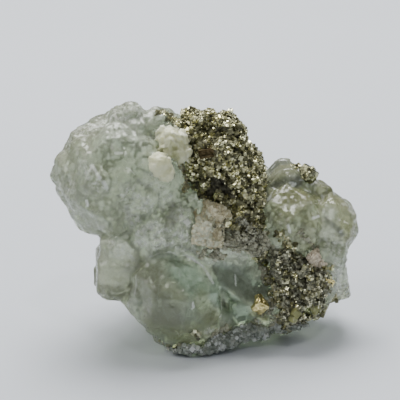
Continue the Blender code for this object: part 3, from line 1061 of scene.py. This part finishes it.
def striated_block():
    bm = bmesh.new()
    for index, forward in enumerate(RIB_HEIGHTS):
        middle = Vector((0, -forward * MM, (index - len(RIB_HEIGHTS) / 2) * RIB_WIDTH))
        rib = bmesh.ops.create_cube(bm, size=1.0)["verts"]
        bmesh.ops.scale(bm, vec=(BLOCK_LENGTH, BLOCK_DEPTH, RIB_WIDTH * RIB_SHARE), verts=rib)
        bmesh.ops.translate(bm, vec=middle, verts=rib)
    bmesh.ops.rotate(bm, matrix=BLOCK_TURN.to_matrix(), verts=bm.verts)
    place = Vector(aimed_at(SEEN, *BLOCK_AT))
    bmesh.ops.translate(bm, vec=place + BLOCK_STANDS_OUT, verts=bm.verts)
    return add_piece("striated_block", mesh_from(bm, "striated_block"))


BROWN_PYRITE = pyrite_crystal("brown pyrite", (0.06, 0.045, 0.02), (0.20, 0.15, 0.08), 0.5)
dress(striated_block(), BROWN_PYRITE, "pyrite")

# %% [markdown]
# ## Calcite and quartz
#
# The tan patches and the white rim are sugary crusts too. Each solid swells a little, its skin is
# painted darker in the crevices as shade, and it gets its grains. Then the tan patch gets paler
# grains at its foot and dark ones in the gap beside it, and the rim gets snow white grains in
# patches. No grain grows close to the surface that the specimen stands on, because it could reach
# through.

# %% Sugary crusts
SUGAR_VOXEL = 0.28
SUGAR_CREVICE_DEPTH = 0.4  # mm
OFF_FLOOR = 0.9 * MM  # no grain grows lower than this
PALE_FOOT_STROKES = ((200, 224, 210, 244, 2.6, 1.0), (204, 212, 206, 224, 1.4, 0.8))
DARK_GAP_STROKES = ((228, 222, 224, 246, 1.5, 1.0), (212, 222, 220, 232, 0.8, 0.8))
sugary_skins = {}
for node, mineral, grain, seed in (
    ("calcite_patch", TAN, (0.36, 0.30, 0.85), 5),
    ("calcite_spot", PINK_TAN, (0.34, 0.28, 0.70), 6),
    ("quartz_rim", WHITE, (0.55, 0.40, 1.10), 7),
):
    skin = even_skin(node, node + "_skin", SUGAR_VOXEL, rounding=2)
    places = points_of(skin.data)
    swell, crevices = swelling(places, 0.6, 21)
    relief = swell + soft_noise(places, 0.6, 22) * 0.15
    push(skin.data, relief - crevices * SUGAR_CREVICE_DEPTH)
    # Painted shade: the skin's tone falls in the crevices, so its colour darkens there.
    save_attribute(skin.data, "tone", 0.4 - crevices * 0.4)
    material, _, slot = mineral
    dress(skin, material, slot, node)
    bare = (1 - crevices) * (places[:, 2] > OFF_FLOOR)
    grow_crust(node + "_grains", skin, bare, mineral, grain, seed)
    sugary_skins[node] = skin

tan_skin, rim_skin = sugary_skins["calcite_patch"], sugary_skins["quartz_rim"]
places = points_of(tan_skin.data)
pale_foot = painted(places, SEEN, PALE_FOOT_STROKES, 0.6)
dark_gap = painted(places, SEEN, DARK_GAP_STROKES, 0.6)
places = points_of(rim_skin.data)
snowy = ((soft_noise(places, 2.6, 61) > 0.05) & (places[:, 2] > OFF_FLOOR)).astype(float)
grow_crust("calcite_patch_pale_foot", tan_skin, pale_foot, PALE_TAN, (0.34, 0.40, 1.00), 17)
grow_crust("calcite_patch_dark_grains", tan_skin, dark_gap, DULL, (0.45, 0.40, 0.90), 17)
grow_crust("quartz_rim_lumps", rim_skin, snowy, SNOW, (0.75, 0.45, 1.15), 9)

# %% [markdown]
# ## Grains scattered over the fluorite
#
# The minerals don't end at a clean line. Pyrite cubes stray over the fluorite around the valley,
# grey quartz fills the band between the valley and the lower crystals, and dark grains sit in the
# seams. Each kind is a crust on the fluorite's own skin, where strokes and a patchy noise allow it.

# %% Scattered grains
PYRITE_SCATTER = (
    (218, 204, 240, 226, 2.2, 1.0),
    (240, 206, 260, 224, 2.2, 1.0),
    (277, 233, 292, 246, 1.5, 1.0),
    (290, 250, 300, 262, 1.3, 1.0),
    (266, 262, 275, 300, 1.4, 0.8),
    (280, 302, 298, 324, 2.0, 1.0),
    (312, 262, 332, 268, 1.2, 0.9),
    (328, 275, 333, 300, 1.2, 0.9),
    (305, 322, 322, 312, 1.0, 0.7),
    (160, 112, 178, 124, 1.8, 0.9),
    (180, 140, 186, 165, 0.8, 0.8),
    (298, 164, 314, 172, 1.4, 1.0),
)
GREY_SCATTER = (
    (216, 240, 290, 258, 2.2, 1.0),
    (225, 230, 262, 244, 2.0, 0.9),
    (204, 253, 262, 259, 1.7, 1.0),
    (264, 268, 288, 300, 2.0, 1.0),
    (264, 306, 286, 332, 2.2, 1.0),
    (214, 334, 256, 326, 1.6, 1.0),
    (168, 350, 206, 352, 1.2, 0.8),
    (300, 232, 314, 250, 1.2, 0.8),
)
PALE_SCATTER = (
    (174, 146, 186, 176, 1.6, 1.0),
    (186, 186, 196, 214, 1.2, 0.9),
)
DARK_SCATTER = (
    (222, 232, 262, 250, 1.6, 0.8),
    (222, 258, 262, 262, 0.9, 0.7),
    (282, 264, 302, 302, 2.0, 0.9),
    (162, 342, 195, 350, 1.4, 1.0),
    (196, 334, 215, 342, 1.2, 0.9),
    (268, 300, 282, 322, 1.2, 0.7),
    (166, 118, 176, 130, 1.0, 0.6),
)
tree = tree_of([fluorite])
points = points_of(fluorite.data)
patchy = 0.75 + 0.5 * soft_noise(points, 1.4, 41) + 0.4 * soft_noise(points, 0.7, 42)
for name, strokes, mineral, grain, seed in (
    ("scattered_pyrite", PYRITE_SCATTER, BRASS, (0.55, 0.45, 1.10), 12),
    ("scattered_grey_quartz", GREY_SCATTER, GREY, (0.42, 0.35, 1.00), 13),
    ("scattered_pale_calcite", PALE_SCATTER, TAN, (0.40, 0.35, 0.80), 14),
    ("scattered_dark_grains", DARK_SCATTER, DULL, (0.60, 0.40, 0.95), 15),
):
    where = painted(points, tree, strokes, 0.5) * np.clip(patchy, 0, 1)
    where *= points[:, 2] > OFF_FLOOR
    grow_crust(name, fluorite, where, mineral, grain, seed)

# %% [markdown]
# ## Milky crystals
#
# Two small crystals beside the pyrite are cloudy and slightly yellow. They are nearly opaque, with
# a soft glow at their edges, so light scatters under their surface and little goes through.

# %% Milky crystals
MILKY_VOXEL = 0.22


def milky_fluorite():
    material, tree, shader = new_material("milky fluorite")
    base = blotches(tree, 1.8, (0.66, 0.67, 0.42), (0.90, 0.90, 0.64))
    set_up(shader, Base_Color=base, Roughness=0.35, Transmission_Weight=0.15)
    set_up(shader, IOR=FLUORITE_INDEX, Subsurface_Weight=0.5)
    set_up(shader, Subsurface_Radius=(1.0, 1.0, 0.8), Subsurface_Scale=1.5 * MM)
    add_bump(tree, shader, noise_field(tree, 0.4), 0.05 * MM, 0.6)
    return material


MILKY = milky_fluorite()
for node, slope in (("milky_crystal_upper", 0.65), ("milky_crystal_lower", 0.25)):
    skin = even_skin(node, node + "_skin", MILKY_VOXEL, rounding=2)
    places = points_of(skin.data)
    push(skin.data, soft_noise(places, 1.0, 31) * 0.10 + leaning_facets(places, 1.3, slope))
    dress(skin, MILKY, "milky_fluorite", node)

# %% [markdown]
# ## The floor
#
# A specimen is usually pictured on a plain pale sheet. One large dull square does, because the
# soft shadow under the crystals is all that it has to show.

# %% Floor
FLOOR_SIZE = 3.0


def make_floor():
    bm = bmesh.new()
    bmesh.ops.create_grid(bm, x_segments=1, y_segments=1, size=FLOOR_SIZE / 2)
    floor = add_piece("floor", mesh_from(bm, "floor"))
    material, tree, shader = new_material("pale sheet")
    base = mixed(tree, noise_field(tree, 60.0, 2.0), (0.60, 0.63, 0.672), (0.62, 0.65, 0.692))
    set_up(shader, Base_Color=base, Roughness=0.8, Specular_IOR_Level=0.1)
    floor.data.materials.append(material)
    print("floor:", FLOOR_SIZE, "m wide")


make_floor()

# %% [markdown]
# ## Light
#
# Soft light from above and behind leaves only a pale shadow. Large area lamps give it, and their
# reflections are what makes the pyrite flash. One small lamp in front adds the sharp glints.

# %% Lights
# Each lamp: name, place in metres, size in metres, power in watts, colour
LAMPS = (
    ("overhead softbox", (-0.05, 0.35, 0.75), 0.50, 11.6, (1.0, 1.0, 1.0)),
    ("left softbox", (-0.60, -0.10, 0.45), 0.35, 2.0, (1.0, 0.99, 0.97)),
    ("right strip", (0.55, 0.30, 0.35), 0.20, 1.0, (0.97, 0.99, 1.0)),
    ("small lamp", (0.12, -0.30, 0.70), 0.06, 0.6, (1.0, 1.0, 0.97)),
)
AIM = Vector((0, 0, 0.02))
ROOM_COLOUR = (0.95, 0.98, 1.0)
ROOM_STRENGTH = 0.24


def make_lamp(name, place, size, power, colour):
    light = bpy.data.lights.new(name, "AREA")
    light.size = size
    light.energy = power
    light.color = colour
    lamp = add_piece(name, light)
    lamp.location = place
    lamp.rotation_euler = (AIM - Vector(place)).to_track_quat("-Z", "Y").to_euler()
    print(name, power, "W")


for lamp in LAMPS:
    make_lamp(*lamp)

world = bpy.data.worlds.new("soft room")
world.use_nodes = True
set_up(world.node_tree.nodes["Background"], Color=ROOM_COLOUR, Strength=ROOM_STRENGTH)
bpy.context.scene.world = world

# %% [markdown]
# ## The end
#
# The pattern grains have done their work, so the trees let go of them and they are removed.

# %% Clear away the pattern grains, and finish
for shape in [*METAL_CRUST.nodes, *SUGAR_CRUST.nodes]:
    if shape.type == "OBJECT_INFO":
        shape.inputs["Object"].default_value = None
for thing in [thing for thing in bpy.data.objects if not thing.users_scene]:
    bpy.data.objects.remove(thing)
